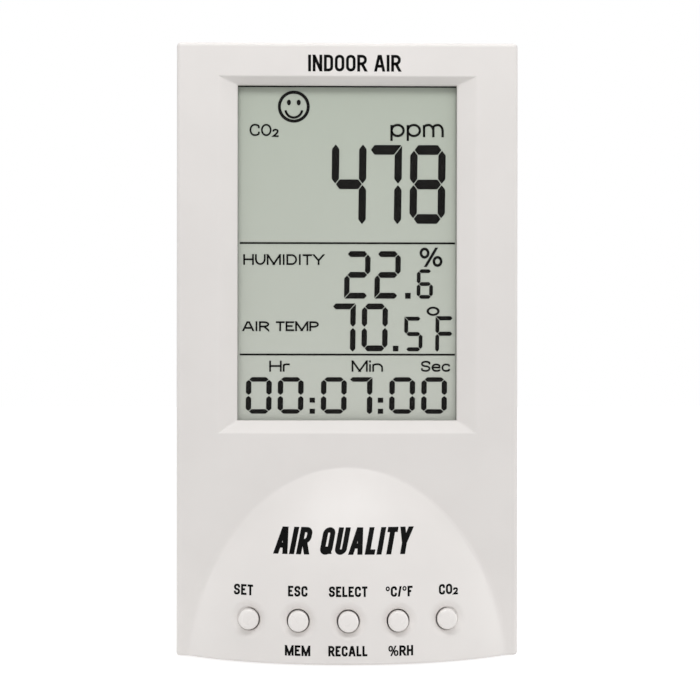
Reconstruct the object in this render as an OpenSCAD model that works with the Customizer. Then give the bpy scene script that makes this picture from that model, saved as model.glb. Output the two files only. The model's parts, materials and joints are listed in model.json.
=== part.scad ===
// Desktop carbon dioxide monitor: a tall white casing with a large display, a
// bulging dome that carries five buttons, and a foot that folds out behind.
// X points to the right, Y points to the back and Z points up. The origin is
// on the table, in the middle of the object's footprint. Lengths are in mm.

/* [Casing] */
// Width of the casing
body_w = 110.5; // [108:0.5:118]
// Height of the casing
body_h = 198.5; // [196:0.5:206]
// Depth of the casing without the dome
body_d = 30; // [30:1:34]
// Thickness of the moulded walls
wall = 2.2; // [2:0.1:2.4]
// Rounding of the outer edges
edge_r = 1.2; // [0.8:0.1:2]
// Height of the rubber pads that stand out below the casing
pad_lift = 0.6; // [0.4:0.1:0.8]

/* [Display] */
// Width of the display opening
window_w = 71.3; // [66:0.1:72]
// Height of the display opening
window_h = 109; // [104:0.1:109]
// Height of the opening's lower edge above the casing's underside
window_rise = 76; // [75:0.5:77]
// Width of the bevel left and right of the opening
bevel_side = 6.1; // [5:0.05:6.6]
// Width of the bevel above the opening
bevel_top = 2.6; // [2.5:0.1:4]
// Width of the bevel below the opening
bevel_bottom = 4; // [3:0.1:4.5]
// Depth of the bevel
bevel_depth = 3; // [2:0.1:3.2]

/* [Dome] */
// Radius of the dome where it meets the table
dome_base_r = 71; // [69:0.5:72]
// Distance of the dome's upright axis behind the front face
dome_axis_back = 48.6; // [48:0.1:50]
// Radius of the dome's profile
dome_arc_r = 113; // [111:1:115]
// Distance of the profile's centre below the casing's underside
dome_arc_drop = 7.1; // [6:0.1:8]

/* [Buttons] */
// Distance between neighbouring buttons
button_pitch = 15.75; // [15:0.25:16]
// Height of the button row above the casing's underside
button_rise = 13.5; // [13.5:0.1:14.5]
// Radius of a button cap
cap_r = 3.2; // [3:0.05:3.25]
// Running clearance between a cap and its guide
cap_gap = 0.07; // [0.05:0.01:0.1]
// How far a button travels when it is pressed
button_travel = 1; // [0.3:0.1:1]
// Depth of the soft dish around each button
dish_depth = 0.8; // [0.4:0.1:0.9]
// Radius of the dish around each button
dish_r = 6.2; // [5.5:0.1:6.4]

/* [Rear foot] */
// Width of the folding foot
foot_w = 52; // [44:1:54]
// Length of the folding foot from its hinge to its tip
foot_len = 40; // [38:0.5:41]
// Thickness of the folding foot
foot_t = 3; // [2.6:0.1:3]
// Radius of the foot's hinge pin
foot_pin_r = 1; // [0.8:0.1:1.1]

/* [Rear wall] */
// Number of slots in the upper vent
vent_slots = 12; // [4:1:13]
// Distance between the two wall hooks
keyhole_spacing = 72; // [70:1:76]
// Radius of a hook's entry hole
keyhole_r = 4; // [3.6:0.1:4.2]

/* [Hidden] */

$fn = 48;
dome_fn = 180;
cut = 0.5; // how far a cutting shape runs past the face that it cuts
big = 300; // larger than the whole object

// Colours
case_white = [0.9, 0.89, 0.88];
cap_white = [0.93, 0.92, 0.91];
lcd_grey = [0.7, 0.73, 0.69];
board_green = [0.1, 0.35, 0.2];
chip_black = [0.1, 0.1, 0.11];
steel = [0.75, 0.76, 0.78];
gold = [0.8, 0.66, 0.32];
rubber_black = [0.12, 0.12, 0.12];
holder_grey = [0.6, 0.61, 0.62];

// Faces of the casing, whose two halves meet at y = split_y
split_y = (dome_base_r - dome_axis_back) / 2;
base_z = pad_lift;
top_z = base_z + body_h;
front_y = split_y - body_d / 2;
back_y = split_y + body_d / 2;
inner_x = body_w / 2 - wall;
inner_front_y = front_y + wall;
inner_back_y = back_y - wall;
floor_z = base_z + wall;
ceiling_z = top_z - wall;

// Display opening and the parts stacked behind it
window_z = base_z + window_rise;
window_mid_z = window_z + window_h / 2;
lip_t = 1.9;
lip_y = front_y + bevel_depth + lip_t;
lens_t = 1.2;
lens_margin = 3;
glass_y = lip_y + lens_t + 0.1;
glass_t = 2.2;
glass_w = window_w + 5;
glass_h = window_h + 5;
board_y = split_y - 4;
board_t = 1.6;
board_back_y = board_y + board_t;
board_w = body_w - 10;
board_h = 120;
board_z = base_z + 64;
rim_margin = 1.5;

// Dome
dome_axis_y = front_y + dome_axis_back;
dome_arc_x = dome_base_r - sqrt(pow(dome_arc_r, 2) - pow(dome_arc_drop, 2));

// Buttons, in order from the left
button_z = base_z + button_rise;
guide_end_y = split_y - 22.6;
guide_r = 5.2;
guide_len = 3;
hole_r = cap_r + 0.4;
flange_r = 4.3;
flange_t = 1;
flange_y = guide_end_y + 0.1;
plunger_y = flange_y + flange_t;
plunger_r = 1.75;
plunger_gap = 0.05;
switch_y = plunger_y + button_travel + 0.1;
switch_side = 6;
switch_t = 3.5;
key_board_y = switch_y + switch_t;
key_board_t = 1.6;
key_board_w = 80;
key_board_h = 19;
key_board_z = floor_z + 1.2;
key_screw_x = 23.6;
key_screw_z = base_z + 19.6;
cap_proud = 2.2;
cap_crown_r = 12;

// Folding foot, which opens away from the casing about a level pin
foot_back_y = back_y - 0.6;
hinge_y = foot_back_y - foot_t / 2;
hinge_z = base_z + 2.8;
barrel_r = 2;
foot_corner_r = 5;
foot_gap = 0.4;
pocket_x = foot_w / 2 + foot_gap;
pocket_y = hinge_y - barrel_r - 0.2;
pocket_wall = 1.8;
pocket_top_z = hinge_z + foot_len + foot_gap;
lug_w = 4.6;
scoop_r = 9;
foot_pad_r = 4.5;
foot_pad_z = hinge_z + 32;
foot_pad_x = 15;
foot_pad_sink = 0.6;

// Screws
case_screw_x = body_w / 2 - 7.5;
case_screw_z = [base_z + 9.6, top_z - 8];
case_screw_r = 1.5;
case_boss_r = 3.8;
head_seat_y = split_y + 6;
board_screw_x = body_w / 2 - 9.5;
board_screw_z = [80, 172];
board_screw_r = 1;
board_post_r = 2.8;

// Rubber pads under the casing
pad_r = 4.5;
pad_sink = 0.6;
front_pad = [22, front_y - 8];
rear_pad = [42, back_y - 7.4];
pad_places = [for (x = [-1, 1], p = [front_pad, rear_pad]) [x * p.x, p.y]];

// Rear wall
vent_pitch = 4;
vent_slot_w = 2;
upper_vent_z = 132;
upper_vent_h = 44;
lower_vent_z = 62;
lower_vent_h = 14;
keyhole_z = 152;
keyhole_slot_r = 2;
keyhole_slot_len = 8;
jack_x = 40;
jack_z = 25;
jack_hole_r = 4.2;
jack_floor_y = back_y - 10.5;
label_w = 62;
label_h = 30;
label_z = 90;
label_t = 0.3;

// Carbon dioxide sensor, on the back of the main board
sensor_x = -26;
sensor_z = 132;
sensor_w = 52;
sensor_h = 44;
sensor_y = board_back_y + 3.6;
sensor_back_y = sensor_y + board_t;
chamber_w = 34;
chamber_h = 16;
chamber_d = 7.6;
chamber_x = -17;
chamber_z = 146;
chamber_mid_z = chamber_z + chamber_h / 2;
chamber_mid_y = sensor_back_y + chamber_d / 2;
chamber_bore_r = 2.8;
chamber_port_r = 2;
chamber_ports = [8, 17, 26]; // from the chamber's left end
header_w = 2.5;
header_places = [2, sensor_w - 10]; // from the board's left edge
lamp_r = 2.4;
lamp_base_r = 3.2;
lamp_base_t = 1.5;
detector_r = 2.6;
detector_base_r = 3.6;
detector_base_t = 4;
filter_margin = 3;
filter_t = 0.5;

// Other parts on the back of the main board. A block on the board is given
// by the X and Z of its lower left corner, its width, height and depth.
chips = [[-22, 100, 12, 12, 1.6], [-2, 102, 8, 6, 1.5], [14, 112, 5, 4, 1.5], [30, 116, 6, 8, 2]];
capacitor_places = [[33, 100], [40, 100], [33, 107.5]];
capacitor_r = 3;
capacitor_len = 7;
socket_z = 66;
ribbon_socket = [-8, socket_z, 16, 5, 4.4];
power_socket = [jack_x - 5, socket_z, 10, 6, 8];
cell_x = 20;
cell_z = 82;
cell_r = 10;
cell_t = 3.2;
cell_holder_r = 11.5;
cell_holder_t = 4.6;
buzzer_x = -26;
buzzer_z = 80;
buzzer_r = 6;
buzzer_t = 7;
buzzer_hole_r = 1.2;

// Small upright board with the humidity and temperature element
humidity_x = -40;
humidity_z = [66, 82];
humidity_d = 12.9;
element_t = 2.8;
element_y = [4.4, 11.4]; // behind the main board
element_z = [69, 78];

// Flat cable from the key board to the main board
ribbon_w = 12;
ribbon_t = 0.8;
ribbon_z = 11.5;
key_socket_w = 16;
key_socket_t = 3;
key_socket_z = [9, 14];

// Power jack behind its hole in the rear wall
jack_len = 12.2;
jack_half_w = 4.5;
jack_over = 6.5; // height of its body above its axis
jack_bore_r = 2.75;
jack_pin_r = 1;
wire_r = 0.7;
wire_spread = 2.2;

// Radius of the dome at height z, and the place of its surface at width x
function dome_r(z) = dome_arc_x + sqrt(pow(dome_arc_r, 2) - pow(z - base_z + dome_arc_drop, 2));
function dome_y(x, z) = dome_axis_y - sqrt(pow(dome_r(z), 2) - pow(x, 2));
// Tilt of the dome's surface, sideways and upwards, in degrees
function dome_turn(x, z) = asin(x / dome_r(z));
function dome_rise(z) = asin((z - base_z + dome_arc_drop) / dome_arc_r);
function button_x(i) = (i - 2) * button_pitch;

// ---- shared shapes ------------------------------------------------------------

// Block from corner a to corner b
module block(a, b) {
    translate(a) cube(b - a);
}

// Round bar along Y, from y = a to y = b
module bar_y(r, x, z, a, b) {
    translate([x, a, z]) rotate([-90, 0, 0]) cylinder(h = b - a, r = r);
}

// Round bar along X, from x = a to x = b
module bar_x(r, y, z, a, b) {
    translate([a, y, z]) rotate([0, 90, 0]) cylinder(h = b - a, r = r);
}

// Rectangle with rounded corners, around its centre
module round_rect(w, h, r) {
    square([w - 2 * r, h], center = true);
    square([w, h - 2 * r], center = true);
    for (x = [-1, 1], y = [-1, 1])
        translate([x * (w / 2 - r), y * (h / 2 - r)]) circle(r);
}

// Plate with rounded corners that faces Y, from y = a to y = b
module plate_y(w, h, r, mid_x, mid_z, a, b) {
    translate([mid_x, b, mid_z]) rotate([90, 0, 0]) linear_extrude(b - a) round_rect(w, h, r);
}

// Block with rounded edges, from corner a to corner b
module soft_block(a, b, r) {
    size = b - a;
    translate((a + b) / 2) intersection() {
        linear_extrude(size.z, center = true) round_rect(size.x, size.y, r);
        rotate([90, 0, 0]) linear_extrude(size.y, center = true) round_rect(size.x, size.z, r);
        rotate([90, 0, 90]) linear_extrude(size.x, center = true) round_rect(size.y, size.z, r);
    }
}

// Outside of the whole casing, without the dome
module casing_solid() {
    soft_block([-body_w / 2, front_y, base_z], [body_w / 2, back_y, top_z], edge_r);
}

// Dome set inwards by inset, from height bottom_z upwards and in front of y = rear_y
module dome_solid(inset, bottom_z, rear_y) {
    intersection() {
        translate([0, dome_axis_y, 0]) rotate_extrude($fn = dome_fn) intersection() {
            translate([dome_arc_x, base_z - dome_arc_drop])
                circle(dome_arc_r - inset, $fn = 2 * dome_fn);
            translate([0, bottom_z]) square([dome_base_r, body_h / 2]);
        }
        block([-body_w / 2 + wall / 2, -big, 0], [body_w / 2 - wall / 2, rear_y, top_z]);
    }
}

// ---- casing ---------------------------------------------------------------------

// Sloping frame around the display opening, as a cutting shape
module window_bevel() {
    run = cut * 2;
    reach = 1 + run / bevel_depth;
    y0 = front_y - run;
    y1 = front_y + bevel_depth;
    half = window_w / 2;
    side = bevel_side * reach;
    low = window_z - bevel_bottom * reach;
    high = window_z + window_h + bevel_top * reach;
    intersection() {
        translate([0, 0, low - cut]) linear_extrude(high - low + 2 * cut)
            polygon([[-half - side, y0], [half + side, y0], [half, y1], [-half, y1]]);
        translate([-half - side - cut, 0, 0]) rotate([90, 0, 90])
            linear_extrude(2 * (half + side + cut))
                polygon([[y0, low], [y0, high], [y1, window_z + window_h], [y1, window_z]]);
    }
}

// Guides that hold the button caps behind the dome
module button_guides() {
    intersection() {
        dome_solid(wall / 2, base_z, front_y);
        for (i = [0:4]) bar_y(guide_r, button_x(i), button_z, -body_w, guide_end_y);
    }
}

// Holes for the button caps, with the soft dish around each one
module button_holes() {
    bowl_r = (pow(dish_r, 2) + pow(dish_depth, 2)) / (2 * dish_depth);
    for (i = [0:4]) {
        x = button_x(i);
        y = dome_y(x, button_z);
        bar_y(cap_r + cap_gap, x, button_z, y - 5, guide_end_y + cut);
        bar_y(hole_r, x, button_z, y - 5, guide_end_y - guide_len);
        translate([x, y, button_z])
            rotate([-dome_rise(button_z), 0, dome_turn(x, button_z)])
                translate([0, dish_depth - bowl_r, 0]) sphere(bowl_r, $fn = 96);
    }
}

// Posts behind the front wall for the case screws, the main board and the key board
module front_posts() {
    for (x = [-1, 1]) {
        for (z = case_screw_z)
            bar_y(case_boss_r, x * case_screw_x, z, front_y + wall / 2, split_y);
        for (z = board_screw_z)
            bar_y(board_post_r, x * board_screw_x, z, front_y + wall / 2, board_y);
    }
    intersection() {
        dome_solid(wall / 2, base_z, key_board_y);
        for (x = [-key_screw_x, key_screw_x])
            bar_y(board_post_r, x, key_screw_z, -body_w, key_board_y);
    }
}

// Thread holes in the posts
module front_post_holes() {
    for (x = [-1, 1]) {
        for (z = case_screw_z)
            bar_y(case_screw_r, x * case_screw_x, z, split_y - 10.5, split_y + cut);
        for (z = board_screw_z)
            bar_y(board_screw_r, x * board_screw_x, z, board_y - 6, board_y + cut);
        bar_y(board_screw_r, x * key_screw_x, key_screw_z, key_board_y - 6, key_board_y + cut);
    }
}

// Shallow round seats for the rubber pads
module pad_seats() {
    for (p = pad_places)
        translate([p.x, p.y, base_z - cut]) cylinder(h = cut + pad_sink, r = pad_r);
}

module front_cover() {
    rim_x = window_w / 2 + bevel_side + rim_margin;
    color(case_white) difference() {
        union() {
            difference() {
                union() {
                    intersection() {
                        casing_solid();
                        block([-big, -big, 0], [big, split_y, big]);
                    }
                    dome_solid(0, base_z, front_y + wall / 2);
                }
                block([-inner_x, inner_front_y, floor_z], [inner_x, split_y + cut, ceiling_z]);
                dome_solid(wall, floor_z, inner_front_y + cut);
            }
            block(
                [-rim_x, front_y + wall / 2, window_z - bevel_bottom - rim_margin],
                [rim_x, lip_y, window_z + window_h + bevel_top + rim_margin]
            );
            button_guides();
            front_posts();
        }
        window_bevel();
        block(
            [-window_w / 2, front_y - cut, window_z],
            [window_w / 2, lip_y + cut, window_z + window_h]
        );
        button_holes();
        front_post_holes();
        pad_seats();
    }
}

// Row of upright slots through the rear wall
module vent(count, low_z, height) {
    for (i = [0:count - 1])
        plate_y(
            vent_slot_w, height, vent_slot_w / 2 - 0.01, (i - (count - 1) / 2) * vent_pitch,
            low_z + height / 2, inner_back_y - cut, back_y + cut
        );
}

// Keyhole for a wall screw: a round entry with a narrow slot above it
module keyhole(x) {
    bar_y(keyhole_r, x, keyhole_z, inner_back_y - cut, back_y + cut);
    bar_y(keyhole_slot_r, x, keyhole_z + keyhole_slot_len, inner_back_y - cut, back_y + cut);
    block(
        [x - keyhole_slot_r, inner_back_y - cut, keyhole_z],
        [x + keyhole_slot_r, back_y + cut, keyhole_z + keyhole_slot_len]
    );
}

// Walls around the pocket that the folding foot lies in, with lugs for its pin
module foot_pocket_walls() {
    x = pocket_x + pocket_wall;
    y = pocket_y - pocket_wall;
    block([-x, y, base_z], [x, inner_back_y + cut, pocket_top_z + pocket_wall]);
    plate_y(
        2 * (scoop_r + pocket_wall), 2 * (scoop_r + pocket_wall), scoop_r, 0, pocket_top_z,
        y, inner_back_y + cut
    );
    for (s = [-1, 1])
        block(
            [s > 0 ? pocket_x : -pocket_x - lug_w, y, base_z],
            [s > 0 ? pocket_x + lug_w : -pocket_x, inner_back_y + cut, hinge_z + 4]
        );
}

// Pocket for the folding foot, with a scoop for a fingertip above it
module foot_pocket() {
    block([-pocket_x, pocket_y, base_z - cut], [pocket_x, back_y + cut, hinge_z]);
    plate_y(
        2 * pocket_x, 2 * (pocket_top_z - hinge_z), foot_corner_r + foot_gap, 0, hinge_z,
        pocket_y, back_y + cut
    );
    bar_y(scoop_r, 0, pocket_top_z, pocket_y + 0.6, back_y + cut);
    bar_x(foot_pin_r, hinge_y, hinge_z, -pocket_x - lug_w + 0.6, pocket_x + lug_w - 0.6);
}

// Thin rib that lines up the two halves of the casing
module parting_rib() {
    gap = 0.15;
    rib = 1;
    deep = 1.4;
    x = inner_x - gap;
    y = split_y;
    difference() {
        union() {
            block([-x, y - deep, floor_z + gap], [x, y + rib, ceiling_z - gap]);
            block([-x - 2 * gap, y, floor_z - gap], [x + 2 * gap, y + rib, ceiling_z + gap]);
        }
        block(
            [-x + rib, y - deep - cut, floor_z + gap + rib],
            [x - rib, y + 2 * rib, ceiling_z - gap - rib]
        );
        for (s = [-1, 1], z = case_screw_z)
            translate([s * case_screw_x, y - deep, z])
                cube([3 * case_boss_r, 2 * deep, 3 * case_boss_r], center = true);
    }
}

// Tubes that take the case screws
module rear_posts() {
    for (x = [-1, 1], z = case_screw_z)
        bar_y(case_boss_r + 0.4, x * case_screw_x, z, split_y, back_y - wall / 2);
}

module rear_cover() {
    color(case_white) difference() {
        union() {
            difference() {
                intersection() {
                    casing_solid();
                    block([-big, split_y, 0], [big, big, big]);
                }
                block([-inner_x, split_y - cut, floor_z], [inner_x, inner_back_y, ceiling_z]);
            }
            parting_rib();
            rear_posts();
            foot_pocket_walls();
        }
        foot_pocket();
        vent(vent_slots, upper_vent_z, upper_vent_h);
        vent(vent_slots, lower_vent_z, lower_vent_h);
        for (s = [-1, 1]) keyhole(s * keyhole_spacing / 2);
        bar_y(jack_hole_r, jack_x, jack_z, inner_back_y - cut, back_y + cut);
        for (x = [-1, 1], z = case_screw_z) {
            bar_y(case_screw_r + 0.2, x * case_screw_x, z, split_y - cut, back_y);
            bar_y(case_boss_r - 0.6, x * case_screw_x, z, head_seat_y, back_y + cut);
        }
        plate_y(label_w, label_h, 2, 0, label_z + label_h / 2, back_y - label_t, back_y + cut);
        pad_seats();
    }
}

// Screw along Y with its head towards the back and a cross recess in the head
module screw(x, z, seat_y, r, len) {
    head_r = 1.9 * r;
    head_t = 1.2 * r;
    slot_w = 0.45 * r;
    difference() {
        union() {
            bar_y(r, x, z, seat_y - len, seat_y);
            bar_y(head_r, x, z, seat_y, seat_y + head_t);
        }
        for (a = [0, 90])
            translate([x, seat_y + head_t, z]) rotate([0, a, 0])
                cube([1.3 * head_r, head_t, slot_w], center = true);
    }
}

module case_screws() {
    color(steel) for (x = [-1, 1], z = case_screw_z)
        screw(x * case_screw_x, z, head_seat_y, case_screw_r, 15);
}

module rubber_feet() {
    color(rubber_black) for (p = pad_places)
        translate([p.x, p.y, 0]) cylinder(h = base_z + pad_sink, r = pad_r);
}

module rating_label() {
    gap = 0.4;
    color([0.82, 0.82, 0.83]) plate_y(
        label_w - gap, label_h - gap, 1.9, 0, label_z + label_h / 2, back_y - label_t, back_y - 0.05
    );
}

// ---- display ----------------------------------------------------------------------

// Plate centred on the display opening, from y = a to y = b
module display_plate(w, h, a, b) {
    block([-w / 2, a, window_mid_z - h / 2], [w / 2, b, window_mid_z + h / 2]);
}

module display_window() {
    color([0.85, 0.9, 0.92, 0.3])
        display_plate(window_w + 2 * lens_margin, window_h + 2 * lens_margin, lip_y, lip_y + lens_t);
}

module lcd_panel() {
    color(lcd_grey) display_plate(glass_w, glass_h, glass_y, glass_y + glass_t);
}

module lcd_reflector() {
    color([0.8, 0.81, 0.8])
        display_plate(glass_w - 4, glass_h - 12, glass_y + glass_t, glass_y + glass_t + 0.3);
}

// Frame that clamps the window and the glass against the front wall
module lcd_holder() {
    hold_w = window_w + 2 * lens_margin + 4.8;
    hold_h = window_h + 2 * lens_margin + 4.8;
    color(holder_grey) difference() {
        display_plate(hold_w, hold_h, lip_y, board_y);
        display_plate(
            window_w + 2 * lens_margin + 0.3, window_h + 2 * lens_margin + 0.3,
            lip_y - cut, glass_y + glass_t
        );
        display_plate(glass_w - 3, glass_h - 11, glass_y, board_y + cut);
        for (s = [-1, 1]) translate([0, 0, s * (glass_h / 2 - 3)])
            display_plate(glass_w - 5.6, 2.8, glass_y, board_y + cut);
    }
}

// Conductive rubber strips between the glass and the board
module contact_strips() {
    color([0.75, 0.45, 0.5]) for (s = [-1, 1]) translate([0, 0, s * (glass_h / 2 - 3)])
        display_plate(glass_w - 6, 2.4, glass_y + glass_t, board_y);
}

// ---- electronics --------------------------------------------------------------------

module main_board() {
    color(board_green) difference() {
        block([-board_w / 2, board_y, board_z], [board_w / 2, board_back_y, board_z + board_h]);
        for (x = [-1, 1], z = board_screw_z)
            bar_y(board_screw_r + 0.2, x * board_screw_x, z, board_y - cut, board_back_y + cut);
    }
}

// Block that stands on the back of the main board: [x, z, width, height, depth]
module on_board(b) {
    block([b[0], board_back_y, b[1]], [b[0] + b[2], board_back_y + b[4], b[1] + b[3]]);
}

module main_chips() {
    color(chip_black) for (c = chips) on_board(c);
}

module capacitors() {
    color([0.2, 0.25, 0.4]) for (p = capacitor_places)
        bar_y(capacitor_r, p.x, p.y, board_back_y, board_back_y + capacitor_len);
}

module board_connectors() {
    key_back_y = key_board_y + key_board_t;
    color([0.9, 0.88, 0.8]) {
        on_board(ribbon_socket);
        on_board(power_socket);
        block(
            [-key_socket_w / 2, key_back_y, key_socket_z[0]],
            [key_socket_w / 2, key_back_y + key_socket_t, key_socket_z[1]]
        );
    }
}

module cell_holder() {
    floor_y = board_back_y + 1;
    color(chip_black) difference() {
        bar_y(cell_holder_r, cell_x, cell_z, board_back_y, board_back_y + cell_holder_t);
        bar_y(cell_r + 0.1, cell_x, cell_z, floor_y, board_back_y + cell_holder_t + cut);
    }
}

module backup_cell() {
    floor_y = board_back_y + 1;
    color(steel) bar_y(cell_r, cell_x, cell_z, floor_y, floor_y + cell_t);
}

module buzzer() {
    back = board_back_y + buzzer_t;
    color(chip_black) difference() {
        bar_y(buzzer_r, buzzer_x, buzzer_z, board_back_y, back);
        bar_y(buzzer_hole_r, buzzer_x, buzzer_z, back - 3, back + cut);
    }
}

module sensor_board() {
    hole_inset = 3;
    color([0.1, 0.2, 0.45]) difference() {
        block(
            [sensor_x, sensor_y, sensor_z], [sensor_x + sensor_w, sensor_back_y, sensor_z + sensor_h]
        );
        for (z = [sensor_z + hole_inset, sensor_z + sensor_h - hole_inset])
            bar_y(
                1.2 * board_screw_r, sensor_x + sensor_w - hole_inset, z,
                sensor_y - cut, sensor_back_y + cut
            );
    }
}

// Pin strips that carry the sensor board on the main board
module sensor_header() {
    inset = 10;
    color(chip_black) for (x = header_places)
        block(
            [sensor_x + x, board_back_y, sensor_z + inset],
            [sensor_x + x + header_w, sensor_y, sensor_z + sensor_h - inset]
        );
}

// Reflective tube that the air sample fills, open at both ends for lamp and detector
module gas_chamber() {
    color(gold) difference() {
        plate_y(
            chamber_w, chamber_h, 3, chamber_x + chamber_w / 2, chamber_mid_z,
            sensor_back_y, sensor_back_y + chamber_d
        );
        bar_x(
            chamber_bore_r, chamber_mid_y, chamber_mid_z, chamber_x - cut, chamber_x + chamber_w + cut
        );
        for (x = chamber_ports)
            bar_y(chamber_port_r, chamber_x + x, chamber_mid_z, chamber_mid_y, back_y);
    }
}

module infrared_lamp() {
    base_x = chamber_x - 5;
    color([0.95, 0.9, 0.8]) {
        bar_x(lamp_r, chamber_mid_y, chamber_mid_z, base_x, chamber_x + 2);
        bar_x(lamp_base_r, chamber_mid_y, chamber_mid_z, base_x - lamp_base_t, base_x);
    }
}

module infrared_detector() {
    x = chamber_x + chamber_w;
    color(steel) {
        bar_x(detector_r, chamber_mid_y, chamber_mid_z, x - 2, x);
        bar_x(detector_base_r, chamber_mid_y, chamber_mid_z, x, x + detector_base_t);
    }
}

// White membrane that keeps dust out of the chamber
module gas_filter() {
    y = sensor_back_y + chamber_d;
    color([0.95, 0.95, 0.94]) plate_y(
        chamber_w - 2 * filter_margin, chamber_h - 2 * filter_margin, 2,
        chamber_x + chamber_w / 2, chamber_mid_z, y, y + filter_t
    );
}

module humidity_board() {
    color(board_green) block(
        [humidity_x, board_back_y, humidity_z[0]],
        [humidity_x + board_t, board_back_y + humidity_d, humidity_z[1]]
    );
}

module humidity_element() {
    x = humidity_x + board_t;
    color([0.92, 0.92, 0.9]) block(
        [x, board_back_y + element_y[0], element_z[0]],
        [x + element_t, board_back_y + element_y[1], element_z[1]]
    );
}

// ---- power inlet ---------------------------------------------------------------------

module dc_jack() {
    color(chip_black) difference() {
        union() {
            block(
                [jack_x - jack_half_w, inner_back_y - jack_len, jack_z - jack_half_w],
                [jack_x + jack_half_w, inner_back_y - 0.1, jack_z + jack_over]
            );
            bar_y(jack_hole_r - 0.15, jack_x, jack_z, inner_back_y - 1, back_y - 0.3);
        }
        bar_y(jack_bore_r, jack_x, jack_z, jack_floor_y, back_y);
    }
}

module dc_jack_contact() {
    color(steel) bar_y(jack_pin_r, jack_x, jack_z, jack_floor_y, back_y - 1.5);
}

// Two wires from the jack up to the main board
module power_wires() {
    low_z = jack_z + jack_over;
    for (s = [-1, 1])
        color(s > 0 ? [0.7, 0.1, 0.1] : chip_black)
            translate([jack_x + wire_spread * s, inner_back_y - jack_len + 2.4, low_z])
                cylinder(h = socket_z - low_z, r = wire_r);
}

// ---- buttons ---------------------------------------------------------------------------

module key_board() {
    color(board_green) difference() {
        block(
            [-key_board_w / 2, key_board_y, key_board_z],
            [key_board_w / 2, key_board_y + key_board_t, key_board_z + key_board_h]
        );
        for (x = [-key_screw_x, key_screw_x])
            bar_y(board_screw_r + 0.2, x, key_screw_z, key_board_y - cut, key_board_y + 2);
    }
}

module key_switches() {
    color(chip_black) difference() {
        for (i = [0:4])
            block(
                [button_x(i) - switch_side / 2, switch_y, button_z - switch_side / 2],
                [button_x(i) + switch_side / 2, key_board_y, button_z + switch_side / 2]
            );
        for (i = [0:4])
            bar_y(
                plunger_r + plunger_gap, button_x(i), button_z, switch_y - cut,
                switch_y + button_travel + 1.4
            );
    }
}

// Stem that closes the switch under a button
module plunger(i) {
    color([0.75, 0.12, 0.12])
        bar_y(plunger_r, button_x(i), button_z, plunger_y, switch_y + 1.2);
}

module plunger_set() { plunger(0); }
module plunger_esc() { plunger(1); }
module plunger_select() { plunger(2); }
module plunger_units() { plunger(3); }
module plunger_co2() { plunger(4); }

// Button cap with a crowned tip and a flange that keeps it in its guide
module button_cap(i) {
    x = button_x(i);
    tip_y = dome_y(x, button_z) - cap_proud;
    color(cap_white) union() {
        intersection() {
            bar_y(cap_r, x, button_z, tip_y - cut, flange_y + flange_t / 2);
            union() {
                translate([x, tip_y + cap_crown_r, button_z]) sphere(cap_crown_r, $fn = 96);
                bar_y(cap_r + cut, x, button_z, tip_y + 3, flange_y + flange_t);
            }
        }
        bar_y(flange_r, x, button_z, flange_y, flange_y + flange_t);
    }
}

module button_set() { button_cap(0); }
module button_esc() { button_cap(1); }
module button_select() { button_cap(2); }
module button_units() { button_cap(3); }
module button_co2() { button_cap(4); }

// Flat cable from the key board to the main board
module key_ribbon() {
    start_y = key_board_y + key_board_t + key_socket_t;
    end_y = split_y + 0.4;
    color([0.55, 0.56, 0.58]) translate([-ribbon_w / 2, 0, 0])
        rotate([90, 0, 90]) linear_extrude(ribbon_w) {
            translate([start_y, ribbon_z - ribbon_t / 2]) square([end_y - start_y, ribbon_t]);
            translate([end_y - ribbon_t / 2, ribbon_z]) square([ribbon_t, socket_z - ribbon_z]);
            translate([end_y, ribbon_z]) circle(ribbon_t / 2);
        }
}

module board_screws() {
    color(steel) for (x = [-1, 1], z = board_screw_z)
        screw(x * board_screw_x, z, board_back_y, board_screw_r, 7);
}

module key_screws() {
    color(steel) for (x = [-key_screw_x, key_screw_x])
        screw(x, key_screw_z, key_board_y + key_board_t, board_screw_r, 6);
}

// ---- folding foot ----------------------------------------------------------------------

module rear_foot() {
    color(case_white) difference() {
        union() {
            intersection() {
                plate_y(
                    foot_w, 2 * foot_len, foot_corner_r, 0, hinge_z,
                    hinge_y - foot_t / 2, foot_back_y
                );
                block([-foot_w, split_y, hinge_z], [foot_w, big, big]);
            }
            bar_x(barrel_r, hinge_y, hinge_z, -foot_w / 2, foot_w / 2);
        }
        bar_x(foot_pin_r + 0.05, hinge_y, hinge_z, -foot_w, foot_w);
        for (s = [-1, 1])
            bar_y(foot_pad_r, s * foot_pad_x, foot_pad_z, foot_back_y - foot_pad_sink, back_y);
    }
}

module foot_pads() {
    color(rubber_black) for (s = [-1, 1])
        bar_y(foot_pad_r, s * foot_pad_x, foot_pad_z, foot_back_y - foot_pad_sink, back_y);
}

module foot_pin() {
    x = pocket_x + lug_w - 0.6;
    color(steel) bar_x(foot_pin_r, hinge_y, hinge_z, -x, x);
}

// ---- nodes -----------------------------------------------------------------------------

front_cover();
rear_cover();
display_window();
lcd_panel();
lcd_reflector();
lcd_holder();
contact_strips();
main_board();
main_chips();
capacitors();
board_connectors();
cell_holder();
backup_cell();
buzzer();
sensor_board();
sensor_header();
gas_chamber();
infrared_lamp();
infrared_detector();
gas_filter();
humidity_board();
humidity_element();
key_board();
key_switches();
key_ribbon();
power_wires();
dc_jack();
dc_jack_contact();
case_screws();
board_screws();
key_screws();
rubber_feet();
rear_foot();
foot_pads();
foot_pin();
rating_label();
button_set();
button_esc();
button_select();
button_units();
button_co2();
plunger_set();
plunger_esc();
plunger_select();
plunger_units();
plunger_co2();
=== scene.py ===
import json
import math

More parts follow.
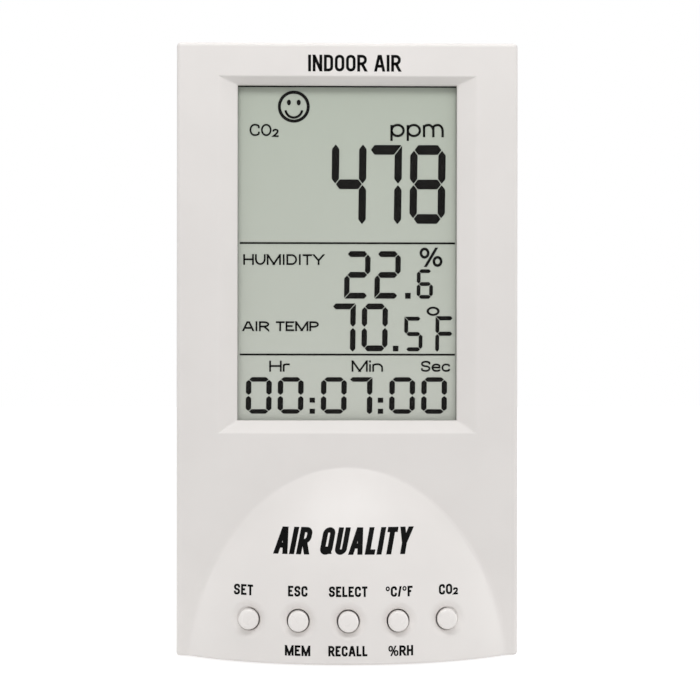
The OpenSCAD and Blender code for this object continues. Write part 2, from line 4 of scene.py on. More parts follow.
import bmesh
import bpy
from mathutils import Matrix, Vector


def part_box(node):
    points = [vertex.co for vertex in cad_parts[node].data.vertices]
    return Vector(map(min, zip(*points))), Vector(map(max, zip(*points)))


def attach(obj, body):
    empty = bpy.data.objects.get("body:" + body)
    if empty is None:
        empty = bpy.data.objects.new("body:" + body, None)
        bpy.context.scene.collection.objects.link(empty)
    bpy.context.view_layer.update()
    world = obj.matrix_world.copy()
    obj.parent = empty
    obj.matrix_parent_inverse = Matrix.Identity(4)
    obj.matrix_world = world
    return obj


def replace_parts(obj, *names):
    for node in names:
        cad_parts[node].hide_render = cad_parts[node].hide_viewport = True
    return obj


# The looks of a desktop carbon dioxide monitor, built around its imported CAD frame.
# Lengths are in millimetres: X points right, Y back and Z up, with the origin on the table.

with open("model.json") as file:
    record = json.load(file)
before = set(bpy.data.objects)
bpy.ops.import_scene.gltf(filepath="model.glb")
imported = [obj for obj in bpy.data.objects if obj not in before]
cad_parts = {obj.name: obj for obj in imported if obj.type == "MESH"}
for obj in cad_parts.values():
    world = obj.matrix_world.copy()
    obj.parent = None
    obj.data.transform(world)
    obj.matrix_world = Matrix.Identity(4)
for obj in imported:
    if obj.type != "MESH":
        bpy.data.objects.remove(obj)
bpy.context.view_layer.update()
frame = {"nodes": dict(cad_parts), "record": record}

MM = 0.001


def corners(node):
    """Lowest and highest corner of a CAD node, in millimetres."""
    low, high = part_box(node)
    return low / MM, high / MM


# ---- sizes ---------------------------------------------------------------------------

# Casing
COVER_LOW, COVER_HIGH = corners("front_cover")
SPLIT_Y = COVER_HIGH.y
FACE_Y = 2 * SPLIT_Y - corners("rear_cover")[1].y
WALL = 2.2
EDGE_R = 1.2
BASE_EDGE_R = 0.8
PARTING_CHAMFER = 0.3
CORNER = 0.1  # the flat face ends in corners of this radius, before the edge rounds over
FACE_X = COVER_HIGH.x - EDGE_R
FACE_LOW_Z = COVER_LOW.z + BASE_EDGE_R
FACE_HIGH_Z = COVER_HIGH.z - EDGE_R
FACE_MID_Z = (FACE_LOW_Z + FACE_HIGH_Z) / 2
FACE_HALF_Z = (FACE_HIGH_Z - FACE_LOW_Z) / 2
INNER_SIDE = 8  # the side walls take up their thickness over this much of the face
INNER_TOP = 6  # and so does the top wall

# Display opening with its bevelled frame
LENS_LOW, LENS_HIGH = corners("display_window")
LENS_MARGIN = 3
OPENING_X = LENS_HIGH.x - LENS_MARGIN
OPENING_LOW_Z = LENS_LOW.z + LENS_MARGIN
OPENING_HIGH_Z = LENS_HIGH.z - LENS_MARGIN
BEVEL_SIDE = 6.1
BEVEL_TOP = 2.6
BEVEL_BOTTOM = 4.0
BEVEL_DEPTH = 3.0
BEVEL_SOFT = 0.1  # share of the bevel's width over which its outer edge is rounded
LIP_SHARE = 0.06  # share of the bevel's width over which its inner edge is rounded
LIP_ROUND = 0.35
LIP_Y = LENS_LOW.y

# Dome
DOME_BASE_R = 71
DOME_ARC_R = 113
DOME_ARC_DROP = 7.1
DOME_AXIS_Y = COVER_LOW.y + DOME_BASE_R
DOME_ARC_Z = COVER_LOW.z - DOME_ARC_DROP
DOME_ARC_X = DOME_BASE_R - math.sqrt(DOME_ARC_R**2 - DOME_ARC_DROP**2)
DOME_TOP_Z = 66
DOME_HALF_W = 51.5
CREASE_TOP = 0.3
CREASE_SIDE = 1.2

# Buttons
BUTTONS = ["set", "esc", "select", "units", "co2"]
BUTTON_PLACES = [sum(corners("button_" + b), Vector()) / 2 for b in BUTTONS]
BUTTON_Z = BUTTON_PLACES[0].z
HOLE_R = 3.6
HOLE_ROUND = 0.35
DISH_R = 6.2
DISH_FLOOR_R = 2.8
DISH_DEPTH = 1.2
PATCH = 7.5  # half width of the square of mesh around each button
PATCH_STEPS = 16
PATCH_RINGS = [6.9, 6.5, 6.1, 5.7, 5.3, 4.9, 4.5, 4.1]  # radii, from the square to the hole
CAP_R = 3.2
CAP_CROWN_R = 12
CAP_SHOULDER = 0.8
CAP_SIDES = 64
FLANGE_R = 4.3
FLANGE_T = 1
FLANGE_GAP = 0.1
GUIDE_BORE_R = 3.27
GUIDE_R = 5.2
GUIDE_END_Y = corners("button_set")[1].y - FLANGE_T - FLANGE_GAP
GUIDE_LEN = 3

# Display
LCD_INK_Y = (LENS_HIGH.y + 0.02, LENS_HIGH.y + 0.08)
# A dark sheet just behind the lens paints the shadow that the opening's lip casts on the glass:
# painted shade.
SHADE_LINE_Y = (LENS_HIGH.y + 0.01, LENS_HIGH.y + 0.09)
SHADE_LINE_INSET = (0.05, 0.3, -0.3)  # how far the painted shadow line shows inside the opening: sides, top, bottom
SHADE_LINE_LAP = 1.5  # how far it reaches behind the casing

# Printing
INK_PROUD = 0.04
INK_SINK = 0.06
DISPLAY_PEN = 0.59
KEY_PEN = 0.66
PRINT_CELL = 1.2  # longest step of a printed stroke, so that it follows the curved dome

# Number of steps in which each small curve is drawn
EDGE_STEPS = 5
LIP_STEPS = 4
CROWN_STEPS = 8
SHOULDER_STEPS = 6
LETTER_STEPS = 8


# ---- small helpers -------------------------------------------------------------------

def mix(a, b, share):
    return a + (b - a) * share


def stops(a, b, count):
    """Evenly spaced values from a to b."""
    return [mix(a, b, i / count) for i in range(count + 1)]


def fan(middle, half, count):
    """Values across a square, at equal angles as seen from its middle."""
    return [middle + half * math.tan(math.radians(90 * i / count - 45)) for i in range(count + 1)]


def merged(*lists, least=0.02):
    """All values in order, without those that nearly repeat the one before."""
    result = []
    for value in sorted(v for values in lists for v in values):
        if not result or value - result[-1] > least:
            result.append(value)
    return result


def nearest(values, target):
    """Place in the list of the value that is nearest to target."""
    return min(range(len(values)), key=lambda i: abs(values[i] - target))


def rectangle(left, right, bottom, top):
    return [(left, bottom), (right, bottom), (right, top), (left, top)]


def round_min(a, b, width):
    """The smaller of a and b, with the corner between them rounded over."""
    h = max(width - abs(a - b), 0) / width
    return min(a, b) - h * h * width / 4


class Solid:
    """A closed mesh that is put together point by point, in millimetres."""

    def __init__(self, name):
        self.name = name
        self.points = []
        self.faces = []

    def point(self, x, y, z):
        self.points.append((x * MM, y * MM, z * MM))
        return len(self.points) - 1

    def strip(self, a, b):
        """Joins two closed loops with the same number of points."""
        for i in range(len(a)):
            j = (i + 1) % len(a)
            self.faces.append((a[i], a[j], b[j], b[i]))

    def prism(self, outline, y_low, y_high):
        """Plate with an (x, z) outline, from y_low to y_high."""
        front = [self.point(x, y_low, z) for x, z in outline]
        back = [self.point(x, y_high, z) for x, z in outline]
        self.strip(front, back)
        self.faces += [tuple(front), tuple(back)]

    def frame(self, outer, inner, y_low, y_high):
        """Plate between two (x, z) outlines with the same number of points."""
        loops = [
            [self.point(x, y, z) for x, z in outline]
            for outline, y in [(outer, y_low), (outer, y_high), (inner, y_high), (inner, y_low)]
        ]
        for i in range(4):
            self.strip(loops[i], loops[(i + 1) % 4])

    def build(self, body, material, smooth_deg=35):
        """Makes the piece, with edges up to smooth_deg shaded smooth, and sets it on its body."""
        mesh = bpy.data.meshes.new(self.name)
        mesh.from_pydata(self.points, [], self.faces)
        bm = bmesh.new()
        bm.from_mesh(mesh)
        bmesh.ops.recalc_face_normals(bm, faces=bm.faces)
        bm.to_mesh(mesh)
        bm.free()
        mesh.shade_smooth()
        mesh.set_sharp_from_angle(angle=math.radians(smooth_deg))
        piece = bpy.data.objects.new(self.name, mesh)
        bpy.context.scene.collection.objects.link(piece)
        mesh.materials.append(material)
        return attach(piece, body)


# ---- front half of the casing --------------------------------------------------------

def dome_y(x, z):
    """Surface of the dome, or a place well behind the face where the dome has ended."""
    if z > DOME_TOP_Z:
        return FACE_Y + DOME_BASE_R
    radius = DOME_ARC_X + math.sqrt(DOME_ARC_R**2 - (z - DOME_ARC_Z) ** 2)
    return DOME_AXIS_Y - math.sqrt(max(radius**2 - x**2, 0))


def dome_edge_z(x):
    """Height at which the dome sinks into the flat face."""
    reach = math.hypot(x, DOME_AXIS_Y - FACE_Y) - DOME_ARC_X
    return DOME_ARC_Z + math.sqrt(max(DOME_ARC_R**2 - reach**2, 0))


def bevel_share(x, z):
    """0 at the inner edge of the display's bevel and 1 at its outer edge."""
    return max(
        (abs(x) - OPENING_X) / BEVEL_SIDE,
        (z - OPENING_HIGH_Z) / BEVEL_TOP,
        (OPENING_LOW_Z - z) / BEVEL_BOTTOM,
    )


def dish(x, z):
    """Depth of the soft dishes around the buttons."""
    rho = min(math.hypot(x - place.x, z - place.z) for place in BUTTON_PLACES)
    share = min(max((rho - DISH_FLOOR_R) / (DISH_R - DISH_FLOOR_R), 0), 1)
    return DISH_DEPTH * (0.5 + 0.5 * math.cos(math.pi * share))


def front_y(x, z):
    """Outer surface of the front cover."""
    crease = mix(CREASE_TOP, CREASE_SIDE, min(abs(x) / DOME_HALF_W, 1) ** 2)
    recess = -BEVEL_DEPTH * round_min(0, bevel_share(x, z) - 1, BEVEL_SOFT)
    return round_min(FACE_Y, dome_y(x, z), crease) + recess + dish(x, z)


def outward(x, z):
    """Direction across the rim of the face, level at its sides and upright above and below it,
    and how far (x, z) lies inside the corner's square."""
    u = max(abs(x) - (FACE_X - CORNER), 0)
    w = max(abs(z - FACE_MID_Z) - (FACE_HALF_Z - CORNER), 0)
    eighths = 0
    if w > u:
        eighths = 2 - u / w
    elif u:
        eighths = w / u
    angle = math.pi / 4 * eighths
    dx = math.copysign(math.cos(angle), x)
    dz = math.copysign(math.sin(angle), z - FACE_MID_Z)
    return dx, dz, u, w


def outer_place(x, z):
    """Point of the outer surface, with the face's four corners slightly rounded."""
    dx, dz, u, w = outward(x, z)
    if u and w:
        reach = max(u, w)
        x = math.copysign(FACE_X - CORNER, x) + dx * reach
        z = FACE_MID_Z + math.copysign(FACE_HALF_Z - CORNER, z - FACE_MID_Z) + dz * reach
    return x, front_y(x, z), z


def inner_place(x, z):
    """Point of the inner surface that lies behind (x, z) of the outer one."""
    y = min(front_y(x, z) + WALL, LIP_Y)
    x, _, z = outer_place(x, z)
    for place in BUTTON_PLACES:
        rho = math.hypot(x - place.x, z - place.z)
        if rho < PATCH:
            edge_r = HOLE_R + HOLE_ROUND
            inner_rho = mix(GUIDE_R, PATCH, (rho - edge_r) / (PATCH - edge_r))
            x = place.x + (x - place.x) * inner_rho / rho
            z = place.z + (z - place.z) * inner_rho / rho
    start_x = FACE_X - INNER_SIDE
    if abs(x) > start_x:
        reach = (COVER_HIGH.x - WALL - start_x) / (FACE_X - start_x)
        x = math.copysign(start_x + (abs(x) - start_x) * reach, x)
    low_start = BUTTON_Z - PATCH
    if z < low_start:
        reach = (low_start - COVER_LOW.z - WALL) / (low_start - FACE_LOW_Z)
        z = low_start - (low_start - z) * reach
    high_start = FACE_HIGH_Z - INNER_TOP
    if z > high_start:
        reach = (COVER_HIGH.z - WALL - high_start) / (FACE_HIGH_Z - high_start)
        z = high_start + (z - high_start) * reach
    return x, y, z


# The mesh is finest at the bevel's two edges and along the dome's edge.
BEVEL_REACH = 1.25
BEVEL_SHARES = [LIP_SHARE, 0.2, 0.4, 0.6, 0.8, 0.9, 0.93, 0.97, 1, 1.03, 1.07, 1.1, BEVEL_REACH]
CREASE_ROW = 50  # the mesh line with this number runs along the dome's edge
CREASE_ZONE = 3.2  # and the lines within this distance follow it
CREASE_STEPS = [0, 0.25, 0.5, 0.8, 1.2, 1.7, 2.4, CREASE_ZONE]
CREASE_LEAST = 1.5  # distance that these lines keep from the squares around the buttons
CREASE_BEND = 6  # width over which they give way to those squares
# The level lines between these heights are bent.
ROWS_WARP = (BUTTON_Z + PATCH, OPENING_LOW_Z - BEVEL_REACH * BEVEL_BOTTOM)


def columns():
    """Upright mesh lines of the front cover, from left to right."""
    half = merged(
        *[fan(place.x, PATCH, PATCH_STEPS) for place in BUTTON_PLACES if place.x > -1],
        [OPENING_X + BEVEL_SIDE * share for share in BEVEL_SHARES],
        stops(OPENING_X + BEVEL_SIDE * BEVEL_REACH, FACE_X - CORNER, 9),
        stops(FACE_X - CORNER, FACE_X, 2),
    )
    half = [x for x in half if x > 0.01]
    return [-x for x in reversed(half)] + [0] + half


def rows():
    """Level mesh lines of the front cover, from the bottom upwards. row_z() bends some of them."""
    return merged(
        stops(FACE_LOW_Z, FACE_LOW_Z + CORNER, 2),
        stops(FACE_LOW_Z + CORNER, BUTTON_Z - PATCH, 5),
        fan(BUTTON_Z, PATCH, PATCH_STEPS),
        stops(ROWS_WARP[0], CREASE_ROW - CREASE_ZONE, 16),
        [CREASE_ROW - step for step in CREASE_STEPS],
        [CREASE_ROW + step for step in CREASE_STEPS],
        stops(CREASE_ROW + CREASE_ZONE, ROWS_WARP[1], 6),
        [OPENING_LOW_Z - BEVEL_BOTTOM * share for share in BEVEL_SHARES],
        stops(OPENING_LOW_Z, OPENING_HIGH_Z, 44)[1:-1],
        [OPENING_HIGH_Z + BEVEL_TOP * share for share in BEVEL_SHARES],
        stops(OPENING_HIGH_Z + BEVEL_TOP * BEVEL_REACH, FACE_HIGH_Z - CORNER, 5),
        stops(FACE_HIGH_Z - CORNER, FACE_HIGH_Z, 2),
    )


def row_z(x, row):
    """Height of a level mesh line at x. Lines near the dome's edge follow it."""
    low, high = ROWS_WARP
    if not low < row < high:
        return row
    edge = -round_min(-dome_edge_z(x), -(low + CREASE_ZONE + CREASE_LEAST), CREASE_BEND)
    offset = row - CREASE_ROW
    if abs(offset) <= CREASE_ZONE:
        return edge + offset
    if offset < 0:
        share = (row - low) / (CREASE_ROW - CREASE_ZONE - low)
        return mix(low, edge - CREASE_ZONE, share)
    share = (offset - CREASE_ZONE) / (high - CREASE_ROW - CREASE_ZONE)
    return mix(edge + CREASE_ZONE, high, share)


def cover_sheet(solid, place):
    """One surface of the front cover. Returns the loops round its rim, window and holes."""
    xs, zs = columns(), rows()

    def block(left, right, bottom, top):
        return nearest(xs, left), nearest(xs, right), nearest(zs, bottom), nearest(zs, top)

    lip_x = OPENING_X + BEVEL_SIDE * LIP_SHARE
    lip_low_z = OPENING_LOW_Z - BEVEL_BOTTOM * LIP_SHARE
    window = block(-lip_x, lip_x, lip_low_z, OPENING_HIGH_Z + BEVEL_TOP * LIP_SHARE)
    patches = [
        block(spot.x - PATCH, spot.x + PATCH, spot.z - PATCH, spot.z + PATCH)
        for spot in BUTTON_PLACES
    ]
    made = {}

    def corner(i, j):
        """Mesh point of column i and row j, with its place on the face."""
        if (i, j) not in made:
            x, z = xs[i], row_z(xs[i], zs[j])
            made[i, j] = (solid.point(*place(x, z)), x, z)
        return made[i, j]

    def loop(i0, i1, j0, j1):
        """Mesh points around a block of cells."""
        return (
            [corner(i, j0) for i in range(i0, i1)]
            + [corner(i1, j) for j in range(j0, j1)]
            + [corner(i, j1) for i in range(i1, i0, -1)]
            + [corner(i0, j) for j in range(j1, j0, -1)]
        )

    for i in range(len(xs) - 1):
        for j in range(len(zs) - 1):
            if any(a <= i < b and c <= j < d for a, b, c, d in patches + [window]):
                continue
            cell = [corner(i, j), corner(i + 1, j), corner(i + 1, j + 1), corner(i, j + 1)]
            mid_y = front_y(sum(c[1] for c in cell) / 4, sum(c[2] for c in cell) / 4)
            ys = [front_y(c[1], c[2]) for c in cell]
            a, b, c, d = [c[0] for c in cell]
            if abs(ys[0] + ys[2] - ys[1] - ys[3]) < 1e-4:
                solid.faces.append((a, b, c, d))
            elif abs((ys[0] + ys[2]) / 2 - mid_y) < abs((ys[1] + ys[3]) / 2 - mid_y):
                solid.faces += [(a, b, c), (a, c, d)]
            else:
                solid.faces += [(b, c, d), (b, d, a)]

    holes = []
    for spot, patch in zip(BUTTON_PLACES, patches):
        ring = loop(*patch)
        for rho in PATCH_RINGS + [HOLE_R + HOLE_ROUND]:
            next_ring = []
            for _, x, z in ring:
                scale = rho / math.hypot(x - spot.x, z - spot.z)
                x, z = spot.x + (x - spot.x) * scale, spot.z + (z - spot.z) * scale
                next_ring.append((solid.point(*place(x, z)), x, z))
            solid.strip([p[0] for p in ring], [p[0] for p in next_ring])
            ring = next_ring
        holes.append(ring)
    rim = loop(0, len(xs) - 1, 0, len(zs) - 1)
    return {"rim": rim, "window": loop(*window), "holes": holes}


def add_rings(solid, start, rings, end):
    """Joins loop start to loop end by way of the rings, which are lists of points."""
    last = [p[0] for p in start]
    for ring in rings:
        loop = [solid.point(*p) for p in ring]
        solid.strip(last, loop)
        last = loop
    solid.strip(last, [p[0] for p in end])


def rim_rings(outer, inner):
    """The cover's rounded edge, its side walls and the face where it meets the rear cover."""
    rings = []
    for angle in stops(0, math.pi / 2, EDGE_STEPS)[1:]:
        ring = []
        for _, x, z in outer:
            dx, dz, _, _ = outward(x, z)
            px, py, pz = outer_place(x, z)
            radius = EDGE_R if dz > -0.5 else BASE_EDGE_R
            reach = math.sin(angle)
            sink = radius * (1 - math.cos(angle))
            base = EDGE_R if dz > 0 else BASE_EDGE_R
            ring.append((px + dx * EDGE_R * reach, py + sink, pz + dz * base * reach))
        rings.append(ring)
    last = rings[-1]
    rings.append([(x, SPLIT_Y - PARTING_CHAMFER, z) for x, _, z in last])
    chamfered = []
    for (x, _, z), (_, raw_x, raw_z) in zip(last, outer):
        dx, dz, _, _ = outward(raw_x, raw_z)
        chamfered.append((x - dx * PARTING_CHAMFER, SPLIT_Y, z - dz * PARTING_CHAMFER))
    rings.append(chamfered)
    rings.append([(p[0], SPLIT_Y, p[2]) for p in (inner_place(x, z) for _, x, z in inner)])
    return rings


def window_rings(outer):
    """Rounded inner edge of the display's bevel, and the wall of the opening behind it."""

    def at(x, z, share):
        """Moves a point of the lip to another share of the bevel's width."""
        if abs(abs(x) - OPENING_X - BEVEL_SIDE * LIP_SHARE) < 0.01:
            x = math.copysign(OPENING_X + BEVEL_SIDE * share, x)
        if z < OPENING_LOW_Z:
            z = OPENING_LOW_Z - BEVEL_BOTTOM * share
        elif z > OPENING_HIGH_Z:
            z = OPENING_HIGH_Z + BEVEL_TOP * share
        return x, z

    edge_y = FACE_Y + BEVEL_DEPTH
    rings = []
    for s in stops(0, 1, LIP_STEPS)[1:]:
        ring = []
        for _, x, z in outer:
            flat = (1 - s) ** 2
            px, pz = at(x, z, LIP_SHARE * flat)
            y = flat * front_y(x, z) + 2 * s * (1 - s) * edge_y + s * s * (edge_y + LIP_ROUND)
            ring.append((px, y, pz))
        rings.append(ring)
    rings.append([(x, LIP_Y, z) for x, _, z in rings[-1]])
    return rings


def hole_rings(spot, outer):
    """Rounded edge of a button hole, with the guide tube behind it."""

    def ring_at(rho, y):
        """Ring of radius rho around the hole, at a fixed y or at the y of each point."""
        ring = []
        for _, x, z in outer:
            scale = rho / math.hypot(x - spot.x, z - spot.z)
            px, pz = spot.x + (x - spot.x) * scale, spot.z + (z - spot.z) * scale
            ring.append((px, y(px, pz) if callable(y) else y, pz))
        return ring

    rings = []
    for s in stops(0, 1, LIP_STEPS)[1:]:
        rho = HOLE_R + HOLE_ROUND * (1 - s) ** 2
        rings.append(ring_at(rho, lambda x, z: front_y(x, z) + s * s * HOLE_ROUND))
    start_y = GUIDE_END_Y - GUIDE_LEN
    rings += [ring_at(rho, start_y) for rho in (HOLE_R, GUIDE_BORE_R)]
    return rings + [ring_at(rho, GUIDE_END_Y) for rho in (GUIDE_BORE_R, GUIDE_R)]


def front_shell(material):
    """Front cover: face, bevelled display frame, dome with five dished holes, edges and walls."""
    solid = Solid("front_shell")
    outer = cover_sheet(solid, outer_place)
    inner = cover_sheet(solid, inner_place)
    add_rings(solid, outer["rim"], rim_rings(outer["rim"], inner["rim"]), inner["rim"])
    add_rings(solid, outer["window"], window_rings(outer["window"]), inner["window"])
    for spot, hole, inner_hole in zip(BUTTON_PLACES, outer["holes"], inner["holes"]):
        add_rings(solid, hole, hole_rings(spot, hole), inner_hole)
    piece = solid.build("case", material)
    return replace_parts(piece, "front_cover")


# ---- button caps -----------------------------------------------------------------------

def cap_profile(tip_y):
    """Radius and depth along a cap, from its crowned tip to the back of its flange."""
    centre_y = tip_y + CAP_CROWN_R
    inner_crown_r = CAP_CROWN_R - CAP_SHOULDER
    shoulder_x = CAP_R - CAP_SHOULDER
    lean = math.asin(shoulder_x / inner_crown_r)
    shoulder_y = centre_y - inner_crown_r * math.cos(lean)
    crown = [
        (CAP_CROWN_R * math.sin(a), centre_y - CAP_CROWN_R * math.cos(a))
        for a in stops(0, lean, CROWN_STEPS)
    ]
    shoulder = [
        (shoulder_x + CAP_SHOULDER * math.sin(a), shoulder_y - CAP_SHOULDER * math.cos(a))
        for a in stops(lean, math.pi / 2, SHOULDER_STEPS)
    ]
    back_y = GUIDE_END_Y + FLANGE_GAP + FLANGE_T
    flange = [(CAP_R, back_y - FLANGE_T), (FLANGE_R, back_y - FLANGE_T), (FLANGE_R, back_y)]
    return crown[1:] + shoulder[1:] + flange


def button_cap(button, material):
    """Crowned push button with a flange that keeps it in its guide."""
    low, high = corners("button_" + button)
    x, z = (low.x + high.x) / 2, (low.z + high.z) / 2
    solid = Solid("cap_" + button)
    turns = [math.radians(360 * i / CAP_SIDES) for i in range(CAP_SIDES)]
    tip = solid.point(x, low.y, z)
    last = None
    for radius, y in cap_profile(low.y):
        loop = [solid.point(x + radius * math.cos(a), y, z + radius * math.sin(a)) for a in turns]
        if last is None:
            solid.faces += [(tip, loop[i], loop[(i + 1) % CAP_SIDES]) for i in range(CAP_SIDES)]
        else:
            solid.strip(last, loop)
        last = loop
    solid.faces.append(tuple(last))
    piece = solid.build(button + "_button", material, 40)
    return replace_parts(piece, "button_" + button)


# ---- display segments ------------------------------------------------------------------

def soften(outline, radius, steps=3):
    """Outline with its corners rounded over."""
    result = []
    count = len(outline)
    for i in range(count):
        before, here, after = (Vector(outline[(i + k) % count]) for k in (-1, 0, 1))
        reach = min(radius, (before - here).length / 2.5, (after - here).length / 2.5)
        a = here + (before - here).normalized() * reach
        b = here + (after - here).normalized() * reach
        for s in stops(0, 1, steps):
            p = a * (1 - s) ** 2 + here * 2 * s * (1 - s) + b * s * s
            result.append((p.x, p.y))
    return result


# Segments of a sign: a at the top, then clockwise b to f, and g across the middle
DIGITS = {
    "0": "abcdef", "2": "abged", "4": "fgbc", "5": "afgcd", "6": "afgecd",
    "7": "abc", "8": "abcdefg", "F": "afge",
}
# Corners at which two segments meet in a mitre: top left, top right and bottom left
SQUARE_CORNERS = {"7": "tr", "2": "bl", "5": "tl", "F": "tl"}

DIGIT_SLANT = 0.0125
DIGIT_ROUND = 0.12  # share of a stroke's width
# Widths of the upright and of the level strokes, and the gap between two of them
LARGE_STROKES = (2.4, 3.15, 0.2)
MIDDLE_STROKES = (1.75, 1.9, 0.17)
TIMER_STROKES = (1.75, 1.45, 0.16)
SMALL_STROKES = {"6": (1.2, 1.2, 0.12), "5": (1.25, 1.3, 0.12), "F": (1.25, 1.35, 0.12)}


def digit(solid, sign, box, strokes):
    """One seven-segment sign in box (left, right, bottom, top)."""
    thick_x, thick_z, gap = strokes
    left, right, bottom, top = box
    x0, x1 = left + thick_x / 2, right - thick_x / 2
    z0, z1, z2 = bottom + thick_z / 2, (bottom + top) / 2, top - thick_z / 2
    hx, hz = thick_x / 2, thick_z / 2
    square = SQUARE_CORNERS.get(sign, "")

    def level(z, left_square, right_square, flip):
        """Level stroke; a square end reaches into the corner on the side that flip names."""
        a, b = x0 + gap, x1 - gap
        points = [
            (a, z), (a + hx, z + hz), (b - hx, z + hz), (b, z), (b - hx, z - hz), (a + hx, z - hz),
        ]
        if left_square:
            points[1 if flip > 0 else 5] = (a - hx, z + flip * hz)
        if right_square:
            points[2 if flip > 0 else 4] = (b + hx, z + flip * hz)
        if left_square:
            points.pop(0)
        elif right_square:
            points.pop(3)
        return points

    def upright(x, low, high, low_square, high_square, flip):
        """Upright stroke; a square end reaches into the corner on the side that flip names."""
        a, b = low + gap, high - gap
        points = [
            (x, a), (x + hx, a + hz), (x + hx, b - hz), (x, b), (x - hx, b - hz), (x - hx, a + hz),
        ]
        if low_square:
            points[1 if flip > 0 else 5] = (x + flip * hx, a - hz)
        if high_square:
            points[2 if flip > 0 else 4] = (x + flip * hx, b + hz)
        if low_square:
            points.pop(0)
        elif high_square:
            points.pop(3)
        return points

    high = z2 if "a" in DIGITS[sign] else top + 2 * gap
    low = z0 if "d" in DIGITS[sign] else bottom - 2 * gap
    shapes = {
        "a": level(z2, square == "tl", square == "tr", 1),
        "g": level(z1, False, False, 1),
        "d": level(z0, square == "bl", False, -1),
        "b": upright(x1, z1, high, False, square == "tr", 1),
        "c": upright(x1, low, z1, False, False, 1),
        "f": upright(x0, z1, high, False, square == "tl", -1),
        "e": upright(x0, low, z1, square == "bl", False, -1),
    }
    for name in DIGITS[sign]:
        outline = [(x + (z - z1) * DIGIT_SLANT, z) for x, z in shapes[name]]
        solid.prism(soften(outline, DIGIT_ROUND * thick_x), *LCD_INK_Y)


def bar(solid, left, right, bottom, top, radius=0.1):
    solid.prism(soften(rectangle(left, right, bottom, top), radius), *LCD_INK_Y)


def oval(x, z, rx, rz, count=48, start=0, sweep=360):
    """Points around an oval, or along part of it."""
    last = count if sweep < 360 else count - 1
    angles = [math.radians(start + sweep * i / count) for i in range(last + 1)]
    return [(x + rx * math.cos(a), z + rz * math.sin(a)) for a in angles]


def gas_reading(solid):
    """Large three-digit reading."""
    bottom, top = 140.8, 166.5
    for sign, left, right in [("4", -5.1, 6.2), ("7", 6.2, 17.8), ("8", 20.5, 32.1)]:
        digit(solid, sign, (left, right, bottom, top), LARGE_STROKES)


def climate_readings(solid):
    """Humidity and temperature, with small last digits."""
    width = 8.5
    bottom, top = 116.3, 131.8
    for left in (-0.9, 9.0):
        digit(solid, "2", (left, left + width, bottom, top), MIDDLE_STROKES)
    bar(solid, 19.0, 20.8, bottom, 118.2)
    digit(solid, "6", (22.8, 28.1, bottom, 125.9), SMALL_STROKES["6"])

    bottom, top = 99.1, 114.7
    for sign, left in (("7", -5.7), ("0", 4.8)):
        digit(solid, sign, (left, left + width, bottom, top), MIDDLE_STROKES)
    bar(solid, 15.0, 16.8, bottom, 100.9)
    digit(solid, "5", (18.7, 24.7, bottom, 110.4), SMALL_STROKES["5"])
    digit(solid, "F", (28.9, 35.2, bottom, 110.6), SMALL_STROKES["F"])
    ring_x, ring_z = 28.15, 112.2
    solid.frame(oval(ring_x, ring_z, 2.15, 1.5), oval(ring_x, ring_z, 1.35, 0.85), *LCD_INK_Y)


def timer_reading(solid):
    """Hours, minutes and seconds along the foot of the display."""
    bottom, top, width = 78.7, 90.6, 8.4
    for sign, left in zip("000700", (-33.0, -22.6, -8.5, -0.1, 13.85, 24.3)):
        digit(solid, sign, (left, left + width, bottom, top), TIMER_STROKES)
    dot_width, dot_height = 1.75, 1.6
    for x in (-12.2, 10.1):
        for z in (82.3, bottom):
            bar(solid, x, x + dot_width, z, z + dot_height)


def smile(solid):
    """Sign for good air: a plain ring with two oval dots and a curved line."""
    x, z = -17.45, 178.95
    outer_r, inner_r = 5.22, 4.22
    solid.frame(oval(x, z, outer_r, outer_r), oval(x, z, inner_r, inner_r), *LCD_INK_Y)
    eye_x, eye_z = 1.6, z + 1.35
    for side in (-1, 1):
        solid.prism(oval(x + side * eye_x, eye_z, 0.66, 0.93, 24), *LCD_INK_Y)
    mouth_z, outer_r, inner_r = z - 0.85, 3.1, 2.32
    start, sweep = 187, 166
    outer = oval(x, mouth_z, outer_r, outer_r, 24, start, sweep)
    inner = oval(x, mouth_z, inner_r, inner_r, 24, start + sweep, -sweep)
    solid.prism(soften(outer + inner, 0.1, 1), *LCD_INK_Y)


def display_ink(material):
    """Everything that the display shows as dark segments, apart from its words."""
    solid = Solid("display_segments")
    gas_reading(solid)
    climate_readings(solid)
    timer_reading(solid)
    smile(solid)
    half_line = 0.3
    for z in (134.4, 98.0):
        bar(solid, -35.0, 35.3, z - half_line, z + half_line)
    return solid.build("case", material)


def display_shade_line(material):
    """Dark sheet round the glass, a painted shadow where the opening's lip shades the glass, which
    shows as a thin line at the top and the sides.
    """
    solid = Solid("display_shade_line")

    def hole(side, top, bottom):
        """Outline of the opening, moved inwards by these lengths."""
        return rectangle(
            side - OPENING_X, OPENING_X - side, OPENING_LOW_Z + bottom, OPENING_HIGH_Z - top
        )

    solid.frame(hole(-SHADE_LINE_LAP, -SHADE_LINE_LAP, -SHADE_LINE_LAP), hole(*SHADE_LINE_INSET), *SHADE_LINE_Y)
    return solid.build("case", material)


# ---- lettering -------------------------------------------------------------------------

